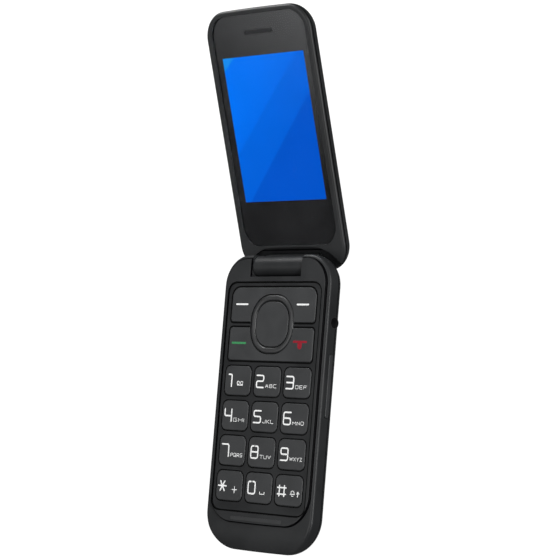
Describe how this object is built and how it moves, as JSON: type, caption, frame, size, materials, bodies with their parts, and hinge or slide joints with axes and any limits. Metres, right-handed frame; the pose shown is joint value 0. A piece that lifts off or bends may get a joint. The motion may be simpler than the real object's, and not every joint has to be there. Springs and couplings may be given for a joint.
{
  "type": "flip phone",
  "caption": "Folding mobile phone, shown open: a keypad base and a lid with a colour display, joined by a snap hinge.",
  "frame": {"origin": "middle of the base's flat back face", "axes": "+Z out of the keypad, +Y from the chin to the hinge, +X to the right as the user sees the keypad"},
  "size_m": [0.0484, 0.1775, 0.0343],
  "materials": {
    "housing_plastic": "soft-touch painted, satin",
    "panel_plastic": "dark, satin",
    "key_plastic": "matte painted keys with pale legends",
    "ring_plastic": "glossy",
    "rubber_black": "soft, matte",
    "window_plastic": "clear, tinted, hard coated",
    "display_glass": "lit liquid-crystal panel, blue",
    "backlight_white": "white light guide in a frame",
    "board_green": "solder-resist coated laminate",
    "film_clear": "amber film",
    "steel_plain": "plain steel",
    "part_black": "black moulded parts",
    "steel_magnet": "nickel plated",
    "contact_gold": "gold plated spring strip",
    "battery_grey": "plain wrapped cell"
  },
  "bodies": {
    "base": {"base_front_housing": "housing_plastic", "base_rear_housing": "housing_plastic", "battery_cover": "housing_plastic", "battery": "battery_grey", "battery_contacts": "contact_gold", "keypad_panel": "panel_plastic", "keypad_mat": "rubber_black", "dome_sheet": "film_clear", "main_board": "board_green", "shield_cans": "steel_plain", "headset_jack": "part_black", "usb_socket": "steel_plain", "sim_holder": "steel_plain", "side_switches": "part_black", "loudspeaker": "part_black", "microphone": "part_black", "vibration_motor": "steel_magnet", "antenna": "contact_gold", "bumper_strip": "rubber_black", "base_screws": "steel_plain", "hinge_spindle": "steel_plain", "hinge_bush": "part_black"},
    "lid": {"lid_front_housing": "housing_plastic", "lid_rear_cover": "housing_plastic", "lid_screws": "steel_plain", "lid_board": "board_green", "lid_magnet": "steel_magnet", "display_window": "window_plastic", "display_panel": "display_glass", "display_backlight": "backlight_white", "earpiece": "part_black", "earpiece_mesh": "part_black", "camera_module": "part_black", "camera_lens": "window_plastic", "hinge_can": "steel_plain", "hinge_cam": "steel_plain", "hinge_spring": "steel_plain", "hinge_flex": "film_clear"},
    "soft_key_plate": {"soft_key_plate": "key_plastic"},
    "call_key_plate": {"call_key_plate": "key_plastic"},
    "nav_ring": {"nav_ring": "ring_plastic"},
    "ok_key": {"ok_key": "key_plastic"},
    "side_key": {"side_key": "key_plastic"},
    "key_0": {"key_0": "key_plastic"},
    "key_1": {"key_1": "key_plastic"},
    "key_2": {"key_2": "key_plastic"},
    "key_3": {"key_3": "key_plastic"},
    "key_4": {"key_4": "key_plastic"},
    "key_5": {"key_5": "key_plastic"},
    "key_6": {"key_6": "key_plastic"},
    "key_7": {"key_7": "key_plastic"},
    "key_8": {"key_8": "key_plastic"},
    "key_9": {"key_9": "key_plastic"},
    "key_star": {"key_star": "key_plastic"},
    "key_hash": {"key_hash": "key_plastic"}
  },
  "joints": [
    {"name": "lid_hinge", "type": "hinge", "parent": "base", "child": "lid", "pos_m": [0, 0.0455, 0.00532], "axis": [1, 0, 0], "range_deg": [0, 160]},
    {"name": "key_0_press", "type": "slide", "parent": "base", "child": "key_0", "axis": [0, 0, -1], "range_m": [0, 0.00025], "stiffness_N_per_m": 800},
    {"name": "key_1_press", "type": "slide", "parent": "base", "child": "key_1", "axis": [0, 0, -1], "range_m": [0, 0.00025], "stiffness_N_per_m": 800},
    {"name": "key_2_press", "type": "slide", "parent": "base", "child": "key_2", "axis": [0, 0, -1], "range_m": [0, 0.00025], "stiffness_N_per_m": 800},
    {"name": "key_3_press", "type": "slide", "parent": "base", "child": "key_3", "axis": [0, 0, -1], "range_m": [0, 0.00025], "stiffness_N_per_m": 800},
    {"name": "key_4_press", "type": "slide", "parent": "base", "child": "key_4", "axis": [0, 0, -1], "range_m": [0, 0.00025], "stiffness_N_per_m": 800},
    {"name": "key_5_press", "type": "slide", "parent": "base", "child": "key_5", "axis": [0, 0, -1], "range_m": [0, 0.00025], "stiffness_N_per_m": 800},
    {"name": "key_6_press", "type": "slide", "parent": "base", "child": "key_6", "axis": [0, 0, -1], "range_m": [0, 0.00025], "stiffness_N_per_m": 800},
    {"name": "key_7_press", "type": "slide", "parent": "base", "child": "key_7", "axis": [0, 0, -1], "range_m": [0, 0.00025], "stiffness_N_per_m": 800},
    {"name": "key_8_press", "type": "slide", "parent": "base", "child": "key_8", "axis": [0, 0, -1], "range_m": [0, 0.00025], "stiffness_N_per_m": 800},
    {"name": "key_9_press", "type": "slide", "parent": "base", "child": "key_9", "axis": [0, 0, -1], "range_m": [0, 0.00025], "stiffness_N_per_m": 800},
    {"name": "key_star_press", "type": "slide", "parent": "base", "child": "key_star", "axis": [0, 0, -1], "range_m": [0, 0.00025], "stiffness_N_per_m": 800},
    {"name": "key_hash_press", "type": "slide", "parent": "base", "child": "key_hash", "axis": [0, 0, -1], "range_m": [0, 0.00025], "stiffness_N_per_m": 800},
    {"name": "ok_key_press", "type": "slide", "parent": "base", "child": "ok_key", "axis": [0, 0, -1], "range_m": [0, 0.00025], "stiffness_N_per_m": 800},
    {"name": "soft_key_tilt", "type": "hinge", "parent": "base", "child": "soft_key_plate", "pos_m": [0, 0.0335, 0.0082], "axis": [0, 1, 0], "range_deg": [-0.8, 0.8], "stiffness_Nm_per_rad": 0.5},
    {"name": "call_key_tilt", "type": "hinge", "parent": "base", "child": "call_key_plate", "pos_m": [0, 0.02, 0.0082], "axis": [0, 1, 0], "range_deg": [-0.8, 0.8], "stiffness_Nm_per_rad": 0.5},
    {"name": "nav_ring_tilt", "type": "hinge", "parent": "base", "child": "nav_ring", "pos_m": [0, 0.02577, 0.0082], "axis": [1, 0, 0], "range_deg": [-1.2, 1.2], "stiffness_Nm_per_rad": 0.5},
    {"name": "side_key_tilt", "type": "hinge", "parent": "base", "child": "side_key", "pos_m": [0.0223, 0.0062, 0.0058], "axis": [0, 0, 1], "range_deg": [-1.2, 1.2], "stiffness_Nm_per_rad": 0.5}
  ]
}
